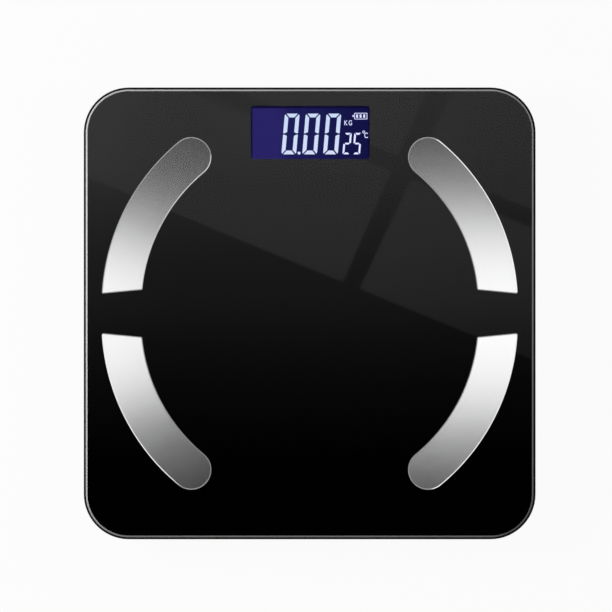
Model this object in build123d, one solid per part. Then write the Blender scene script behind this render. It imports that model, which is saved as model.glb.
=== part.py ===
"""Digital bathroom scale: a glass platform bonded to a moulded tray that stands on four load-cell feet.

Millimetres, +Z up, +Y towards the rear edge with the display, +X to the right.
The origin is on the floor, under the middle of the platform.
"""

from build123d import *
import math
import os

# Platform outline
platform_width = 280.0
platform_depth = 280.0
corner_radius = 28.0

# Glass platform and what is bonded under it
glass_thickness = 5.0
glass_chamfer = 1.0  # ground bevel round the top edge
glass_arris = 0.3  # broken edge round the underside
glass_gap = 0.1  # between the glass edge and the tray rim
film_thickness = 0.2
film_inset = 0.4  # film edge inside the glass edge
tape_thickness = 0.8
tape_width = 5.0
tape_inset = 0.4  # tape edge inside the film edge

# Base tray
ground_clearance = 5.0
floor_thickness = 2.0
wall = 2.0
rim_width = 1.2
rim_drop = 0.2  # rim top below the glass bevel
rim_round = 0.4
skirt_inset = 11.0
skirt_height = 7.0
skirt_round = 3.0
shoulder_round = 6.0
rib_thickness = 1.4
rib_pitch = 28.0
rib_height = 6.6

# Electrode plates, as the rear right one, mirrored to the other corners
electrode_thickness = 0.8
electrode_edge_width = 0.6  # coined slope round the top edge, seen from above
electrode_edge_drop = 0.35
electrode_margin = 11.0  # outermost point of the plate inside the platform edge
electrode_band = 24.8
electrode_centre_x = -2.9  # centre of the plate's arcs
electrode_centre_y = 4.8
electrode_sweep = 50.35  # degrees, from the +X axis to the centre of the round end
electrode_gap_outer = 12.2  # cut end above the centre line, at the outer arc
electrode_gap_inner = 14.6  # cut end above the centre line, at the inner arc
electrode_corner = 0.9
stud_angle = 27.0
stud_radius = 2.0
stud_hole_gap = 0.5
film_hole_gap = 0.5  # film hole outside the glass hole
nut_across_flats = 7.0
nut_height = 2.4
stud_tail = 0.8  # stud end past its nut
terminal_thickness = 0.5
terminal_radius = 4.0
barrel_radius = 1.3
barrel_length = 5.0

# Display stack
window_width = 73.6
window_height = 32.7
window_round = 0.6
display_offset_x = 0.5
display_rear_gap = 0.5  # display frame in front of the wall that carries the tape
gasket_thickness = 0.8
gasket_margin = 0.5  # gasket opening outside the window
lcd_side_margin = 3.2  # display glass outside the window, at its sides
lcd_end_margin = 2.65  # display glass outside the window, front and rear
lcd_ledge = 3.0  # contact ledge of the front glass, towards the user
lcd_front_thickness = 1.3
lcd_rear_thickness = 1.1
backlight_thickness = 2.6
zebra_width = 2.2
zebra_inset = 4.0  # contact strip inside the ends of the display glass
frame_wall = 1.2
frame_fit = 0.1
frame_drop = 0.6  # frame top below the display's face

# Main board
board_side = 8.7  # board outside the display frame, for its screws
board_thickness = 1.6
board_corner = 2.0
board_margin = 3.6  # header front face behind the board's front edge
board_screw_inset = 4.0
header_depth = 3.6
header_height = 3.0
header_gap = 0.6
header_bevel = 0.45
header_ways = 10
chip_radius = 7.0
chip_height = 1.6
chip_round = 1.4
chip_offset = (-24.0, -6.0)  # from the board's centre
capacitor_radius = 2.0
capacitor_height = 2.6
capacitor_round = 0.5
capacitor_pitch = 6.0
capacitor_offset = (18.0, 4.0)
crystal_length = 8.0
crystal_width = 3.2
crystal_height = 2.4
crystal_round = 1.5
crystal_offset = (-6.0, 8.0)
resistor_length = 2.0
resistor_width = 1.25
resistor_height = 0.6
resistor_pitch = 4.0
resistor_count = 6
resistor_offset = (-10.0, 14.0)
boss_radius = 3.2

# Screws and their holes
screw_radius = 1.2
screw_fit = 0.05
screw_depth = 5.0
screw_head_radius = 2.5
screw_head_height = 1.5
screw_head_round = 0.9
clearance_fit = 0.2

# Unit button on the underside and its switch
button_radius = 3.5
button_gap = 0.2
button_flange = 1.5
button_flange_thickness = 0.8
button_proud = 0.4
button_float = 0.1  # flange above the tray floor
button_y_inset = 44.0  # from the rear edge of the platform
button_dish_radius = 6.5
button_dish_depth = 0.6
button_travel = 0.5
switch_size = 6.0
switch_bevel = 0.4
plunger_radius = 1.7
plunger_gap = 0.1
plunger_reach = 0.9  # plunger below the switch body

# Feet and load cells
foot_inset = 36.0  # foot axis inside the platform's edges
foot_radius = 21.0
foot_round = 1.6
foot_top_round = 0.6
foot_gap = 0.6
foot_travel = 0.6
foot_stop_gap = 0.2  # well roof above the foot at full travel
foot_height = 5.4
foot_floor = 1.6
foot_rib = 1.4
foot_rib_count = 6
foot_hub = 7.0
foot_skin = 2.2
foot_lip = 3.0  # ring of the cup round the pad
pad_thickness = 2.0
pad_recess = 0.8
pad_fit = 0.1
pad_groove_width = 1.2
pad_groove_depth = 0.6
pad_groove_margin = 3.0
pad_groove_pitch = 4.5
pad_groove_count = 3
post_radius = 4.5
post_gap = 0.7
cell_size = 34.0
cell_corner = 4.0
cell_thickness = 1.8
cell_seat = 1.0  # raised ring under the cell
cell_seat_inner = 14.0
cell_seat_outer = 19.0
tongue_width = 12.0
tongue_tip = 10.5  # tongue end in front of the foot axis
tongue_root = 10.0
tongue_slot = 2.5
slot_round = 0.75
bead_length = 6.5
bead_width = 10.0
bead_height = 3.6
bead_round = 0.9
bead_inset = 0.5  # bead edge past the tongue's root
retainer_thickness = 1.2
retainer_width = 30.0
retainer_opening = 21.0
retainer_bolt_gap = 4.5  # screw outside the cell
retainer_ear = 3.5

# Batteries, their bay and its door
battery_radius = 5.25
battery_length = 44.5
battery_round = 0.5
nub_radius = 1.9
nub_length = 1.0
battery_gap = 0.7
battery_lift = 0.3  # batteries above the door
bay_lead_gap = 7.65  # bay wall in front of the last lead row
bay_wall = 1.4
bay_roof = 1.2
bay_roof_gap = 0.2
bay_film_gap = 0.2
contact_thickness = 0.4
contact_width = 9.0
contact_height = 9.5
contact_tail = 2.0
spring_length = 4.5
spring_radius = 2.8
spring_wire = 0.3
spring_turns = 3
spring_clearance = 0.02
door_thickness = 1.6
door_gap = 0.25
door_lap = 1.0  # door under the bay's end walls
door_seat_gap = 0.2
hinge_clear = 2.8  # hinge side of the opening in front of the batteries
latch_clear = 2.15  # latch side of the opening behind the batteries
hinge_tab_width = 8.0
hinge_tab_reach = 2.0
hinge_tab_thickness = 1.0
hinge_tab_spacing = 30.0
hinge_tab_gap = 0.2
hinge_room = 1.05  # bay wall in front of the hinge tabs
latch_width = 12.0
latch_leaf = 1.0
latch_height = 3.0
latch_bite = 0.7
latch_nib = 1.2
latch_room = 2.45  # bay wall behind the latch side of the opening
grip_rib_count = 5
grip_rib_pitch = 3.0
grip_rib_width = 1.2
grip_rib_height = 0.3
grip_rib_length = 16.0
notch_radius = 8.0
notch_depth = 1.2

# Leads
cell_lead_radius = 0.9
electrode_lead_radius = 0.6
battery_lead_radius = 0.6
lead_bend = 12.0
lead_bend_share = 0.45  # of the shorter run beside a bend
lead_gap = 0.02
lead_rows = 4
lead_row_pitch = 4.5  # rows in front of the board
lead_drop = 8.0  # last run of a lead, into the header
cell_lead_clear = 10.0  # rear cell leads outside the board
cell_lead_lane = 84.0
electrode_lead_lane = 40.0
electrode_lead_run = 14.0
battery_lead_run = 5.5

# Heights that follow from the sizes above
tray_bottom = ground_clearance
tray_floor = tray_bottom + floor_thickness
door_top = tray_bottom + door_thickness
battery_axis = door_top + battery_lift + battery_radius
bay_top = battery_axis + battery_radius + bay_roof_gap
film_bottom = bay_top + bay_roof + bay_film_gap
ledge = film_bottom - tape_thickness
glass_bottom = film_bottom + film_thickness
glass_top = glass_bottom + glass_thickness
rim_top = glass_top - glass_chamfer - rim_drop
rib_top = tray_floor + rib_height
lcd_top = film_bottom - gasket_thickness
lcd_bottom = lcd_top - lcd_front_thickness - lcd_rear_thickness
board_top = lcd_bottom - backlight_thickness
board_bottom = board_top - board_thickness
foot_bottom = pad_thickness - pad_recess
foot_top = foot_bottom + foot_height
well_roof = foot_top + foot_travel + foot_stop_gap
well_top = well_roof + floor_thickness
cell_bottom = well_top + cell_seat
cell_top = cell_bottom + cell_thickness
retainer_top = cell_top + retainer_thickness
switch_bottom = tray_floor + button_float + button_flange_thickness + plunger_reach
lead_height = max(rib_top, retainer_top) + cell_lead_radius + lead_gap

# Places that follow from the sizes above
half_width = platform_width / 2
half_depth = platform_depth / 2
pad_radius = foot_radius - foot_lip
foot_x = half_width - foot_inset
foot_y = half_depth - foot_inset
retainer_bolt = cell_size / 2 + retainer_bolt_gap
lcd_width = window_width + 2 * lcd_side_margin
lcd_height = window_height + 2 * lcd_end_margin
tape_outer = rim_width + glass_gap + film_inset + tape_inset
display_x = display_offset_x
display_stop = half_depth - tape_outer - tape_width - display_rear_gap
display_y = display_stop - frame_wall - frame_fit - lcd_height / 2
lcd_rear = display_y + lcd_height / 2
lcd_front = display_y - lcd_height / 2 - lcd_ledge
frame_front = lcd_front - frame_fit - frame_wall
frame_rear = lcd_rear + frame_fit + frame_wall
header_rear = frame_front - header_gap
header_front = header_rear - header_depth
board_front = header_front - board_margin
board_rear = frame_rear
board_y = (board_front + board_rear) / 2
board_width = lcd_width + 2 * (frame_fit + frame_wall + board_side)
header_half = board_width / 2 - 2 * board_screw_inset - screw_head_radius
header_pitch = 2 * header_half / header_ways
button_y = half_depth - button_y_inset
battery_pitch = 2 * battery_radius + battery_gap
battery_reach = battery_pitch / 2 + battery_radius
opening_rear = board_front - lead_rows * lead_row_pitch - bay_lead_gap - bay_wall - latch_room
bay_y = opening_rear - latch_clear - battery_reach
bay_half_length = (battery_length + spring_length) / 2 + contact_thickness
opening_front = bay_y - battery_reach - hinge_clear
hinge_y = opening_front + door_gap + door_thickness / 2
hinge_z = tray_bottom + door_thickness / 2
bay_front = opening_front - hinge_tab_reach - hinge_room
bay_rear = opening_rear + latch_room
electrode_outer = half_width - electrode_margin - electrode_centre_x
electrode_inner = electrode_outer - electrode_band
electrode_middle = electrode_outer - electrode_band / 2
stud_x = electrode_centre_x + electrode_middle * math.cos(math.radians(stud_angle))
stud_y = electrode_centre_y + electrode_middle * math.sin(math.radians(stud_angle))
nut_bottom = film_bottom - terminal_thickness - nut_height
board_bolts = [
    (display_x + sx * (board_width / 2 - board_screw_inset), y)
    for sx in (-1, 1)
    for y in (board_front + board_screw_inset, board_rear - board_screw_inset)
]
corners = {
    "front_left": (-1, -1),
    "front_right": (1, -1),
    "rear_left": (-1, 1),
    "rear_right": (1, 1),
}
upright = (Align.CENTER, Align.CENTER, Align.MIN)


def slab(width, depth, radius, bottom, top):
    """Plate with round upright corners between two heights, centred on the platform."""
    return Pos(0, 0, bottom) * extrude(RectangleRounded(width, depth, radius), top - bottom)


def platform_slab(inset, bottom, top):
    """Plate that follows the platform's outline, drawn in by inset."""
    return slab(
        platform_width - 2 * inset,
        platform_depth - 2 * inset,
        corner_radius - inset,
        bottom,
        top,
    )


def block(x0, x1, y0, y1, z0, z1):
    """Plain block between two corners."""
    return Pos(x0, y0, z0) * Box(x1 - x0, y1 - y0, z1 - z0, align=Align.MIN)


def disc(radius, bottom, top, x=0.0, y=0.0):
    """Upright cylinder between two heights."""
    return Pos(x, y, bottom) * Cylinder(radius, top - bottom, align=upright)


def edges_at(shape, height):
    """Edges that lie in one horizontal plane."""

    def level(edge):
        box = edge.bounding_box()
        return max(abs(box.min.Z - height), abs(box.max.Z - height)) < 1e-4

    return shape.edges().filter_by(level)


def to_corner(shape, side, end):
    """A rear right piece mirrored to its own corner of the platform."""
    if side < 0:
        shape = mirror(shape, about=Plane.YZ)
    if end < 0:
        shape = mirror(shape, about=Plane.XZ)
    return shape


def screw(x, y, seat, depth=screw_depth):
    """Pan head screw seated at a height, with its shank below."""
    head = disc(screw_head_radius, seat, seat + screw_head_height, x, y)
    head = fillet(edges_at(head, seat + screw_head_height), screw_head_round)
    return head + disc(screw_radius, seat - depth, seat, x, y)


def screw_hole(x, y, top, depth=screw_depth):
    """Pilot hole for a screw, open at its top."""
    return disc(screw_radius + screw_fit, top - depth, top, x, y)


# Glass platform: tempered slab with a ground bevel, drilled once under each electrode
def make_glass():
    inset = rim_width + glass_gap
    glass = platform_slab(inset, glass_bottom, glass_top)
    glass = chamfer(edges_at(glass, glass_top), glass_chamfer)
    glass = chamfer(edges_at(glass, glass_bottom), glass_arris)
    hole = disc(stud_radius + stud_hole_gap, glass_bottom, glass_top, stud_x, stud_y)
    return glass - [to_corner(hole, *c) for c in corners.values()]


# Black film under the glass, open over the display
def make_film():
    film = platform_slab(rim_width + glass_gap + film_inset, film_bottom, glass_bottom)
    window = Pos(display_x, display_y) * slab(
        window_width, window_height, window_round, film_bottom, glass_bottom
    )
    radius = stud_radius + stud_hole_gap + film_hole_gap
    hole = disc(radius, film_bottom, glass_bottom, stud_x, stud_y)
    return film - window - [to_corner(hole, *c) for c in corners.values()]


# Foam tape that bonds the glass to the tray's ledge
def make_tape():
    outer = platform_slab(tape_outer, ledge, film_bottom)
    return outer - platform_slab(tape_outer + tape_width, ledge, film_bottom)


# Electrode plate: an arc of steel sheet with one round end, and a stud welded under it
def make_electrode():
    centre = (electrode_centre_x, electrode_centre_y)

    def angle_at(radius, height):
        return math.degrees(math.asin((height - electrode_centre_y) / radius))

    start = angle_at(electrode_outer, electrode_gap_outer)
    finish = angle_at(electrode_inner, electrode_gap_inner)
    outer = CenterArc(centre, electrode_outer, start, electrode_sweep - start)
    inner = CenterArc(centre, electrode_inner, electrode_sweep, finish - electrode_sweep)
    sweep_way = math.radians(electrode_sweep)
    middle = Vector(*centre) + Vector(math.cos(sweep_way), math.sin(sweep_way)) * electrode_middle
    tip = middle + Vector(-math.sin(sweep_way), math.cos(sweep_way)) * electrode_band / 2
    cap = ThreePointArc(outer @ 1, tip, inner @ 0)
    cut_end = Line(inner @ 1, outer @ 0)
    outline = make_face([outer, cap, inner, cut_end])
    cut_corners = [
        v
        for v in outline.vertices()
        if min((Vector(v) - cut_end @ 0).length, (Vector(v) - cut_end @ 1).length) < 1e-4
    ]
    outline = fillet(cut_corners, electrode_corner)
    plate = Pos(0, 0, glass_top) * extrude(outline, electrode_thickness)
    top_edges = edges_at(plate, glass_top + electrode_thickness)
    top_face = plate.faces().sort_by(Axis.Z)[-1]
    plate = chamfer(top_edges, electrode_edge_width, electrode_edge_drop, reference=top_face)
    return plate + disc(stud_radius, nut_bottom - stud_tail, glass_top, stud_x, stud_y)


# Ring terminal and hexagon nut on an electrode's stud
def make_terminal():
    top = film_bottom
    ring = disc(terminal_radius, top - terminal_thickness, top, stud_x, stud_y)
    axis_z = top - lead_gap - barrel_radius
    barrel_start = stud_x - terminal_radius
    barrel = Pos(barrel_start, stud_y, axis_z) * Rot(0, -90, 0) * Cylinder(
        barrel_radius, barrel_length, align=upright
    )
    neck = block(
        barrel_start - barrel_radius,
        stud_x,
        stud_y - barrel_radius,
        stud_y + barrel_radius,
        top - terminal_thickness,
        top - lead_gap,
    )
    hole = disc(stud_radius + screw_fit, axis_z - barrel_radius, top, stud_x, stud_y)
    nut_reach = nut_across_flats / 2 / math.cos(math.pi / 6) + lead_gap
    room = disc(nut_reach, nut_bottom, nut_bottom + nut_height, stud_x, stud_y)
    return ring + neck + (barrel - room) - hole


def make_nut():
    hexagon = RegularPolygon(nut_across_flats / 2, 6, major_radius=False)
    nut = Pos(stud_x, stud_y, nut_bottom) * extrude(hexagon, nut_height)
    return nut - disc(stud_radius + screw_fit, nut_bottom, nut_bottom + nut_height, stud_x, stud_y)


# Base tray: moulded shell with skirt, rim, ribs, foot wells and battery bay
def tray_shell():
    outer = platform_slab(0, tray_bottom, rim_top)
    under = outer.faces().sort_by(Axis.Z)[0]
    outer = chamfer(under.edges(), skirt_inset, skirt_height, reference=under)
    outer = fillet(edges_at(outer, tray_bottom), skirt_round)
    outer = fillet(edges_at(outer, tray_bottom + skirt_height), shoulder_round)
    slant = math.hypot(skirt_inset, skirt_height)
    drawn_in = (
        skirt_inset
        - floor_thickness * skirt_inset / skirt_height
        + wall * slant / skirt_height
        - wall
    )
    cavity = platform_slab(wall, tray_floor, ledge)
    under = cavity.faces().sort_by(Axis.Z)[0]
    cavity = chamfer(under.edges(), drawn_in, drawn_in * skirt_height / skirt_inset, reference=under)
    pocket = platform_slab(rim_width, ledge, rim_top)
    shell = outer - cavity - pocket
    shell = fillet(edges_at(shell, rim_top), rim_round)
    return shell, cavity


def tray_ribs(cavity):
    """Stiffening grid, the wall that carries the tape, and the gussets behind that wall."""
    half_rib = rib_thickness / 2
    grid, gussets = [], []
    for across in range(2):
        half, other = (half_width, half_depth) if across else (half_depth, half_width)
        count = int((half - tape_outer - tape_width - corner_radius) / rib_pitch)
        for k in range(-count, count + 1):
            at = k * rib_pitch
            low, high = at - half_rib, at + half_rib
            for top, ribs in ((rib_top, grid), (ledge, gussets)):
                if across:
                    ribs.append(block(low, high, -other, other, tray_floor, top))
                else:
                    ribs.append(block(-other, other, low, high, tray_floor, top))
    inner = tape_outer + tape_width
    carrier = platform_slab(inner - rib_thickness, tray_floor, ledge) - platform_slab(
        inner, tray_floor, ledge
    )
    behind = platform_slab(0, tray_floor, ledge) - platform_slab(
        inner - half_rib, tray_floor, ledge
    )
    inside = platform_slab(inner - half_rib, tray_floor, rib_top)
    room = block(
        display_x - board_width / 2 - wall,
        display_x + board_width / 2 + wall,
        board_front - wall,
        half_depth - inner,
        tray_floor,
        rib_top,
    )
    bay = block(
        -bay_half_length, bay_half_length, bay_front, bay_rear, tray_floor, rib_top
    )
    cell_room = slab(cell_size, cell_size, cell_corner, tray_floor, rib_top)
    cell_room += disc(foot_radius + foot_gap, tray_floor, rib_top)
    ears = 2 * (retainer_bolt + boss_radius)
    cell_room += Pos(0, 0, tray_floor) * extrude(
        SlotOverall(ears, 2 * boss_radius), rib_top - tray_floor
    )
    cell_room = Pos(foot_x, foot_y) * cell_room
    stiffeners = (Part() + grid) & inside
    stiffeners = stiffeners - room - bay - [to_corner(cell_room, *c) for c in corners.values()]
    return ((stiffeners + ((Part() + gussets) & behind)) & cavity) + (carrier & cavity)


def foot_well():
    """Round well in the tray's underside, with the load cell's seat and screw bosses above it."""
    well = disc(foot_radius + foot_gap + wall, tray_bottom + floor_thickness / 2, well_top)
    well += disc(cell_seat_outer, well_top, cell_bottom) - disc(
        cell_seat_inner, well_top, cell_bottom
    )
    for side in (-1, 1):
        well += disc(boss_radius, tray_floor - floor_thickness / 2, cell_top, side * retainer_bolt)
    pit = disc(foot_radius + foot_gap, tray_bottom, well_roof)
    pit += disc(post_radius + post_gap, well_roof, well_top)
    for side in (-1, 1):
        pit += screw_hole(side * retainer_bolt, 0, cell_top, cell_top - well_roof - wall)
    cell_space = slab(
        cell_size + 2 * clearance_fit, cell_size + 2 * clearance_fit, cell_corner, cell_bottom, cell_top
    )
    place = Pos(foot_x, foot_y)
    return place * (well - cell_space), place * pit


def battery_bay():
    """Box over the battery opening: its walls stand on the tray floor, and the door closes it."""
    outer = block(
        -bay_half_length - bay_wall,
        bay_half_length + bay_wall,
        bay_front - bay_wall,
        bay_rear + bay_wall,
        tray_bottom + floor_thickness / 2,
        bay_top + bay_roof,
    )
    outer = fillet(outer.edges().filter_by(Axis.Z), bay_wall)
    inner = block(-bay_half_length, bay_half_length, bay_front, bay_rear, tray_floor, bay_top)
    opening = block(
        -bay_half_length, bay_half_length, opening_front, opening_rear, tray_bottom, tray_floor
    )
    lap = bay_half_length + door_lap + door_gap
    opening += block(-lap, lap, opening_front, opening_rear, tray_bottom, door_top + door_seat_gap)
    inner_end = -bay_half_length - bay_wall
    for side in (-1, 1):
        y = bay_y + side * battery_pitch / 2
        slot_half = contact_thickness + clearance_fit
        opening += block(
            inner_end,
            -bay_half_length,
            y - contact_tail / 2 - clearance_fit,
            y + contact_tail / 2 + clearance_fit,
            lead_height - slot_half,
            lead_height + slot_half,
        )
    return outer, inner + opening


def make_tray():
    shell, cavity = tray_shell()
    tray = shell + tray_ribs(cavity)
    well, pit = foot_well()
    bay, hollow = battery_bay()
    tray = tray + bay + [to_corner(well, *c) for c in corners.values()]
    for x, y in board_bolts:
        tray += disc(boss_radius, tray_floor, board_bottom, x, y)
    notch = disc(notch_radius, tray_bottom, tray_bottom + notch_depth, 0, opening_rear)
    dish = disc(
        button_dish_radius, tray_bottom, tray_bottom + button_dish_depth, display_x, button_y
    )
    button_hole = disc(button_radius + button_gap, tray_bottom, tray_floor, display_x, button_y)
    tray = tray - hollow - notch - dish - button_hole - [to_corner(pit, *c) for c in corners.values()]
    return tray - [screw_hole(x, y, board_bottom, board_bottom - tray_floor) for x, y in board_bolts]


# Display: liquid crystal cell, backlight, contact strip, frame and dust gasket
def display_block(half, front, rear, bottom, top):
    return block(display_x - half, display_x + half, front, rear, bottom, top)


def make_lcd():
    middle = lcd_bottom + lcd_rear_thickness
    rear_glass = display_block(lcd_width / 2, lcd_front + lcd_ledge, lcd_rear, lcd_bottom, middle)
    return rear_glass + display_block(lcd_width / 2, lcd_front, lcd_rear, middle, lcd_top)


def make_gasket():
    place = Pos(display_x, display_y)
    outer = slab(lcd_width, lcd_height, window_round, lcd_top, film_bottom)
    opening = 2 * gasket_margin
    inner = slab(
        window_width + opening, window_height + opening, window_round, lcd_top, film_bottom
    )
    return place * (outer - inner)


def make_backlight():
    front = lcd_front + lcd_ledge + frame_fit
    panel = display_block(lcd_width / 2 - frame_fit, front, lcd_rear - frame_fit, board_top, lcd_bottom)
    return chamfer(edges_at(panel, lcd_bottom), frame_fit)


def make_contact_strip():
    front = lcd_front + (lcd_ledge - zebra_width) / 2
    strip_top = lcd_bottom + lcd_rear_thickness
    return display_block(lcd_width / 2 - zebra_inset, front, front + zebra_width, board_top, strip_top)


def make_display_frame():
    half = lcd_width / 2 + frame_fit
    top = lcd_top - frame_drop
    outer = display_block(half + frame_wall, frame_front, frame_rear, board_top, top)
    outer = fillet(outer.edges().filter_by(Axis.Z), frame_wall)
    return outer - display_block(half, frame_front + frame_wall, frame_rear - frame_wall, board_top, top)


# Main board with its chip, small components, wire header and switch
def make_board():
    depth = board_rear - board_front
    board = Pos(display_x, board_y) * slab(board_width, depth, board_corner, board_bottom, board_top)
    radius = screw_radius + clearance_fit
    return board - [disc(radius, board_bottom, board_top, x, y) for x, y in board_bolts]


def make_chip():
    x, y = display_x + chip_offset[0], board_y + chip_offset[1]
    blob = disc(chip_radius, board_bottom - chip_height, board_bottom, x, y)
    return fillet(edges_at(blob, board_bottom - chip_height), chip_round)


def make_components():
    """Two electrolytic capacitors, a crystal can and a row of chip resistors under the board."""
    pieces = []
    can_x, can_y = display_x + capacitor_offset[0], board_y + capacitor_offset[1]
    can_low = board_bottom - capacitor_height
    for k in range(2):
        can = disc(capacitor_radius, can_low, board_bottom, can_x + capacitor_pitch * k, can_y)
        pieces.append(fillet(edges_at(can, can_low), capacitor_round))
    crystal = slab(
        crystal_length, crystal_width, crystal_round, board_bottom - crystal_height, board_bottom
    )
    pieces.append(Pos(display_x + crystal_offset[0], board_y + crystal_offset[1]) * crystal)
    y = board_y + resistor_offset[1]
    for k in range(resistor_count):
        x = display_x + resistor_offset[0] + resistor_pitch * k
        low = board_bottom - resistor_height
        pieces.append(block(x, x + resistor_length, y, y + resistor_width, low, board_bottom))
    return pieces


def make_header():
    header_top = board_top + header_height
    header = display_block(header_half, header_front, header_rear, board_top, header_top)
    return chamfer(edges_at(header, header_top), header_bevel)


def make_switch_body():
    half = switch_size / 2
    body = block(
        display_x - half, display_x + half, button_y - half, button_y + half, switch_bottom, board_bottom
    )
    body = chamfer(edges_at(body, switch_bottom), switch_bevel)
    room = switch_bottom + plunger_reach + 2 * button_travel
    return body - disc(plunger_radius + plunger_gap, switch_bottom, room, display_x, button_y)


def make_plunger():
    low = switch_bottom - plunger_reach
    return disc(plunger_radius, low, switch_bottom + plunger_reach, display_x, button_y)


def make_button():
    low = tray_floor + button_float
    face = tray_bottom - button_proud
    cap = disc(button_radius, face, low, display_x, button_y)
    cap = fillet(edges_at(cap, face), button_proud)
    flange = button_radius + button_gap + button_flange
    return cap + disc(flange, low, low + button_flange_thickness, display_x, button_y)


# Foot: moulded cup with a rubber pad under it and a post up to the load cell
def make_foot():
    cup = disc(foot_radius, foot_bottom, foot_top)
    cup = fillet(edges_at(cup, foot_bottom), foot_round)
    cup = fillet(edges_at(cup, foot_top), foot_top_round)
    core_floor = pad_thickness + foot_floor
    core = disc(foot_radius - foot_skin, core_floor, foot_top) - disc(foot_hub, core_floor, foot_top)
    spoke = block(0, foot_radius, -foot_rib / 2, foot_rib / 2, core_floor, foot_top)
    core = core - [Rot(0, 0, 360 / foot_rib_count * k) * spoke for k in range(foot_rib_count)]
    cup = cup - core - disc(pad_radius + pad_fit, foot_bottom, pad_thickness)
    cup += disc(post_radius, foot_top - foot_floor, cell_bottom)
    cup -= screw_hole(0, 0, cell_bottom)
    return Pos(foot_x, foot_y) * cup


def make_pad():
    pad = disc(pad_radius, 0, pad_thickness)
    half = pad_groove_width / 2
    for k in range(pad_groove_count):
        radius = pad_radius - pad_groove_margin - k * pad_groove_pitch
        pad -= disc(radius + half, 0, pad_groove_depth) - disc(radius - half, 0, pad_groove_depth)
    return Pos(foot_x, foot_y) * pad


# Load cell: stamped steel plate whose middle tongue bends, with a potted gauge at the tongue's root
def make_load_cell():
    plate = slab(cell_size, cell_size, cell_corner, cell_bottom, cell_top)
    half = tongue_width / 2
    slot = block(
        -half - tongue_slot,
        half + tongue_slot,
        -tongue_root,
        tongue_tip + tongue_slot,
        cell_bottom,
        cell_top,
    )
    slot -= block(-half, half, -tongue_root, tongue_tip, cell_bottom, cell_top)
    slot = fillet(slot.edges().filter_by(Axis.Z).group_by(Axis.Y)[0], slot_round)
    hole = disc(screw_radius + clearance_fit, cell_bottom, cell_top)
    return Pos(foot_x, foot_y) * (plate - slot - hole)


def make_gauge_bead():
    rear = -tongue_root - bead_inset + bead_length
    half, top = bead_width / 2, cell_top + bead_height
    bead = block(-half, half, rear - bead_length, rear, cell_top, top)
    bead = fillet(bead.edges().filter_by(Axis.X).group_by(Axis.Z)[-1], bead_round)
    return Pos(foot_x, foot_y) * bead


def make_retainer():
    ears = 2 * (retainer_bolt + retainer_ear)
    outline = RectangleRounded(cell_size, retainer_width, cell_corner)
    outline += SlotOverall(ears, 2 * retainer_ear)
    outline -= RectangleRounded(retainer_opening, retainer_width - 2 * tongue_slot, tongue_slot / 2)
    plate = Pos(0, 0, cell_top) * extrude(outline, retainer_thickness)
    radius = screw_radius + clearance_fit
    holes = [disc(radius, cell_top, retainer_top, side * retainer_bolt) for side in (-1, 1)]
    return Pos(foot_x, foot_y) * (plate - holes)


def retainer_screws():
    places = [foot_x + side * retainer_bolt for side in (-1, 1)]
    pair = [screw(x, foot_y, retainer_top, screw_depth - floor_thickness) for x in places]
    return [to_corner(s, *c) for c in corners.values() for s in pair]


# Batteries, contacts, door and latch
def turned(shape):
    """A left end piece turned to the right end of the bay."""
    return Pos(0, bay_y) * Rot(0, 0, 180) * Pos(0, -bay_y) * shape


def make_battery(row):
    """One cell lying along X; the two cells point opposite ways."""
    can_length = battery_length - nub_length
    can = Cylinder(battery_radius, can_length, align=upright)
    can = fillet(edges_at(can, can_length) + edges_at(can, 0), battery_round)
    can += Pos(0, 0, can_length) * Cylinder(nub_radius, nub_length, align=upright)
    start = -bay_half_length + contact_thickness + spring_length
    cell = Pos(start, bay_y + battery_pitch / 2, battery_axis) * Rot(0, 90, 0) * can
    return cell if row > 0 else turned(cell)


def spring_path():
    """Wire line of a contact spring along X, from its plate to the battery."""
    room = spring_length - 2 * (spring_wire + spring_clearance)
    start = -bay_half_length + contact_thickness + spring_wire + spring_clearance
    return Helix(
        room / spring_turns,
        room,
        spring_radius,
        center=(start, bay_y + battery_pitch / 2, battery_axis),
        direction=(1, 0, 0),
    )


def make_spring():
    path = spring_path()
    section = Plane(origin=path @ 0, z_dir=path % 0) * Circle(spring_wire)
    return sweep(section, path=path)


def spring_gap():
    """Least gap between one turn of a contact spring and the next, measured on points of its line."""
    path = spring_path()
    steps = 36 * spring_turns
    points = [path @ (k / steps) for k in range(steps + 1)]
    far = 18
    return min(
        (points[a] - points[b]).length for a in range(steps + 1) for b in range(a + far, steps + 1)
    ) - 2 * spring_wire


def contact_plate(y_low, y_high, with_tail_at=None):
    """Flat contact on the left end wall of the bay, with a tail through the wall where it is wired."""
    low = battery_axis - contact_height / 2
    plate = block(
        -bay_half_length, -bay_half_length + contact_thickness, y_low, y_high, low, low + contact_height
    )
    if with_tail_at is not None:
        half = contact_tail / 2
        plate += block(
            -bay_half_length - bay_wall - contact_tail,
            -bay_half_length,
            with_tail_at - half,
            with_tail_at + half,
            lead_height - contact_thickness / 2,
            lead_height + contact_thickness / 2,
        )
    return plate


def make_contacts():
    half = contact_width / 2
    rear, front = bay_y + battery_pitch / 2, bay_y - battery_pitch / 2
    minus = contact_plate(rear - half, rear + half, rear)
    plus = contact_plate(front - half, front + half, front)
    bridge = turned(contact_plate(front - half, rear + half))
    return minus, plus, bridge


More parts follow.
